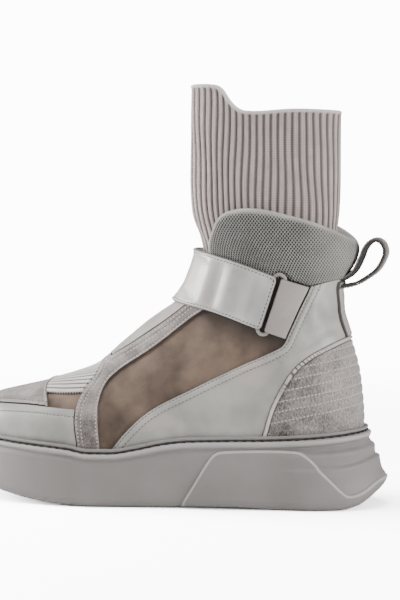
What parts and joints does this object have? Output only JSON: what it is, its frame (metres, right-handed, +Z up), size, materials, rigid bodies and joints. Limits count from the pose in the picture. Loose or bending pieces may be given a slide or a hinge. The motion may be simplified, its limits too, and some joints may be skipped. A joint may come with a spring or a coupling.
{
  "type": "sneaker boot",
  "caption": "Left sneaker boot with a thick moulded sole, leather and suede overlays, padded mesh collar, ribbed knit sock shaft, ankle strap and heel loop.",
  "frame": {"origin": "on the floor, under the middle of the heel's flat spot", "axes": "+Z up, -X towards the toe, -Y towards the outer side of the left foot"},
  "size_m": [0.2931, 0.112, 0.2755],
  "materials": {
    "moulded_sole": "matt moulded",
    "smooth_leather": "smooth, slight sheen",
    "suede": "napped suede",
    "nubuck": "fine napped nubuck",
    "knit": "ribbed knit",
    "air_mesh": "padded air mesh",
    "lining": "woven lining"
  },
  "bodies": {
    "root": {"sole": "moulded_sole", "welt": "moulded_sole", "insole": "lining", "upper": "nubuck", "toe_rand": "smooth_leather", "toe_cap": "suede", "knit_vamp": "knit", "instep_panel": "smooth_leather", "side_stripe": "suede", "quarter": "smooth_leather", "heel_counter": "suede", "counter_piping": "smooth_leather", "collar": "air_mesh", "sock": "knit", "strap": "smooth_leather", "strap_ring": "smooth_leather", "strap_anchor": "smooth_leather", "back_stay": "smooth_leather", "pull_loop": "smooth_leather", "loop_lining": "lining"}
  },
  "joints": []
}
